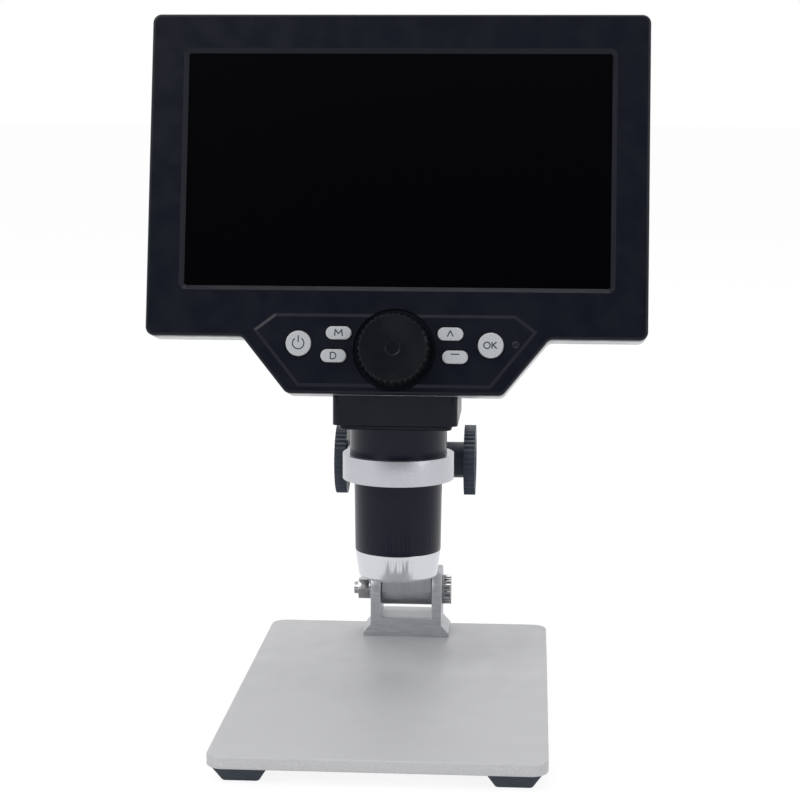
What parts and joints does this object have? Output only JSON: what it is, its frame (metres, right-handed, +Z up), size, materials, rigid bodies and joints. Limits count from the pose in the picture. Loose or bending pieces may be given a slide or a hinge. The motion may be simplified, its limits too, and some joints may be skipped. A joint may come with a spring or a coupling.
{
  "type": "digital microscope",
  "caption": "Desk microscope with its own wide screen on a vertical lens barrel, held by a ring clamp on a rack-driven column that tilts on a flat base plate.",
  "frame": {"origin": "on the table under the middle of the base plate", "axes": "+X to the user's right, +Y away from the user, +Z up"},
  "size_m": [0.184, 0.182, 0.2584],
  "materials": {
    "plate_metal": "satin silver lacquer over sand-blasted metal",
    "foot_rubber": "matt dark blue-grey rubber",
    "bracket_metal": "satin anodised extrusion",
    "column_metal": "satin anodised bar",
    "screw_steel": "bright plated steel",
    "rack_steel": "milled steel teeth",
    "bush_brass": "turned brass",
    "knob_plastic": "moulded dark plastic with fine ridges",
    "carriage_black": "black anodised block",
    "ring_silver": "turned and clear anodised",
    "barrel_black": "gloss dark blue-black anodised",
    "nose_silver": "turned and polished",
    "case_black": "satin dark blue-black moulding",
    "shell_silver": "silver lacquered moulding",
    "window_glass": "clear cover sheet over a dark display",
    "lcd_dark": "dark switched-off display",
    "thin_steel": "pressed sheet",
    "lens_glass": "polished lens",
    "carrier_black": "black anodised",
    "board_green": "solder mask",
    "chip_black": "moulded chip packages",
    "led_white": "white light emitters",
    "diffuser_clear": "clear light window",
    "battery_wrap": "shrink sleeve",
    "button_grey": "silver grey keys",
    "indicator_lens": "clear light pipe"
  },
  "bodies": {
    "base": {"base_plate": "plate_metal", "rubber_feet": "foot_rubber", "hinge_bracket": "bracket_metal", "bracket_screws": "screw_steel", "hinge_washer": "screw_steel", "hinge_nut": "screw_steel"},
    "lock_bolt": {"hinge_bolt": "screw_steel"},
    "column": {"column_post": "column_metal", "column_rack": "rack_steel", "rack_screws": "screw_steel", "column_cap": "knob_plastic", "cap_screw": "screw_steel"},
    "carriage": {"carriage_block": "carriage_black", "carriage_gib": "bush_brass", "gib_screws": "screw_steel", "pinion_bush": "bush_brass", "ring_clamp": "ring_silver", "arm_screws": "screw_steel"},
    "height_drive": {"pinion_shaft": "rack_steel", "knob_left": "knob_plastic", "knob_right": "knob_plastic", "knob_screws": "screw_steel"},
    "ring_screw": {"clamp_screw": "screw_steel"},
    "head": {"barrel_sleeve": "barrel_black", "lower_tube": "barrel_black", "nose_cone": "nose_silver", "light_window": "diffuser_clear", "light_board": "board_green", "light_leds": "led_white", "sensor_board": "board_green", "neck_block": "case_black", "neck_cover": "case_black", "neck_screws": "screw_steel", "front_bezel": "case_black", "rear_shell": "shell_silver", "display_glass": "window_glass", "lcd_panel": "lcd_dark", "lcd_frame": "thin_steel", "main_board": "board_green", "board_parts": "chip_black", "battery_pack": "battery_wrap", "port_board": "board_green", "usb_socket": "thin_steel", "card_socket": "thin_steel", "key_board": "board_green", "key_switches": "chip_black", "indicator_light": "indicator_lens", "case_screws": "screw_steel", "focus_bushes": "bush_brass"},
    "focus_drive": {"focus_wheel": "knob_plastic", "focus_shaft": "rack_steel"},
    "lens_group": {"lens_carrier": "carrier_black", "front_lens": "lens_glass", "rear_lens": "lens_glass"},
    "button_power_key": {"button_power": "button_grey"},
    "button_ok_key": {"button_ok": "button_grey"},
    "button_menu_key": {"button_menu": "button_grey"},
    "button_delete_key": {"button_delete": "button_grey"},
    "button_up_key": {"button_up": "button_grey"},
    "button_down_key": {"button_down": "button_grey"}
  },
  "joints": [
    {"name": "column_tilt", "type": "hinge", "parent": "base", "child": "column", "pos_m": [0, 0.077, 0.0278], "axis": [-1, 0, 0], "range_deg": [-10, 20]},
    {"name": "lock_bolt_turn", "type": "hinge", "parent": "base", "child": "lock_bolt", "pos_m": [0.0163, 0.077, 0.0278], "axis": [1, 0, 0], "range_deg": [-180, 0]},
    {"name": "carriage_slide", "type": "slide", "parent": "column", "child": "carriage", "axis": [0, 0, 1], "range_m": [-0.022, 0.07]},
    {"name": "height_knob_turn", "type": "hinge", "parent": "carriage", "child": "height_drive", "pos_m": [0, 0.06634, 0.084], "axis": [-1, 0, 0], "range_deg": [-265, 840]},
    {"name": "ring_screw_turn", "type": "hinge", "parent": "carriage", "child": "ring_screw", "pos_m": [-0.01534, 0.03334, 0.0912], "axis": [-0.7071, 0.7071, 0], "range_deg": [-180, 0]},
    {"name": "head_swivel", "type": "hinge", "parent": "carriage", "child": "head", "pos_m": [0, 0.018, 0.0854], "axis": [0, 0, 1], "range_deg": [-60, 60]},
    {"name": "lens_slide", "type": "slide", "parent": "head", "child": "lens_group", "axis": [0, 0, 1], "range_m": [-0.006, 0.006]},
    {"name": "focus_wheel_turn", "type": "hinge", "parent": "head", "child": "focus_drive", "pos_m": [0, -0.0125, 0.13829], "axis": [0, -0.9781, 0.2079], "range_deg": [-85, 85]},
    {"name": "button_power_press", "type": "slide", "parent": "head", "child": "button_power_key", "axis": [0, 0.9781, -0.2079], "range_m": [0, 0.0005], "stiffness_N_per_m": 1200, "springref_m": -0.0004},
    {"name": "button_ok_press", "type": "slide", "parent": "head", "child": "button_ok_key", "axis": [0, 0.9781, -0.2079], "range_m": [0, 0.0005], "stiffness_N_per_m": 1200, "springref_m": -0.0004},
    {"name": "button_menu_press", "type": "slide", "parent": "head", "child": "button_menu_key", "axis": [0, 0.9781, -0.2079], "range_m": [0, 0.0005], "stiffness_N_per_m": 1200, "springref_m": -0.0004},
    {"name": "button_delete_press", "type": "slide", "parent": "head", "child": "button_delete_key", "axis": [0, 0.9781, -0.2079], "range_m": [0, 0.0005], "stiffness_N_per_m": 1200, "springref_m": -0.0004},
    {"name": "button_up_press", "type": "slide", "parent": "head", "child": "button_up_key", "axis": [0, 0.9781, -0.2079], "range_m": [0, 0.0005], "stiffness_N_per_m": 1200, "springref_m": -0.0004},
    {"name": "button_down_press", "type": "slide", "parent": "head", "child": "button_down_key", "axis": [0, 0.9781, -0.2079], "range_m": [0, 0.0005], "stiffness_N_per_m": 1200, "springref_m": -0.0004}
  ],
  "couplings": [
    {"joint": "height_knob_turn", "follows": "carriage_slide", "rad_per_m": 208.33},
    {"joint": "focus_wheel_turn", "follows": "lens_slide", "rad_per_m": 244.54}
  ]
}
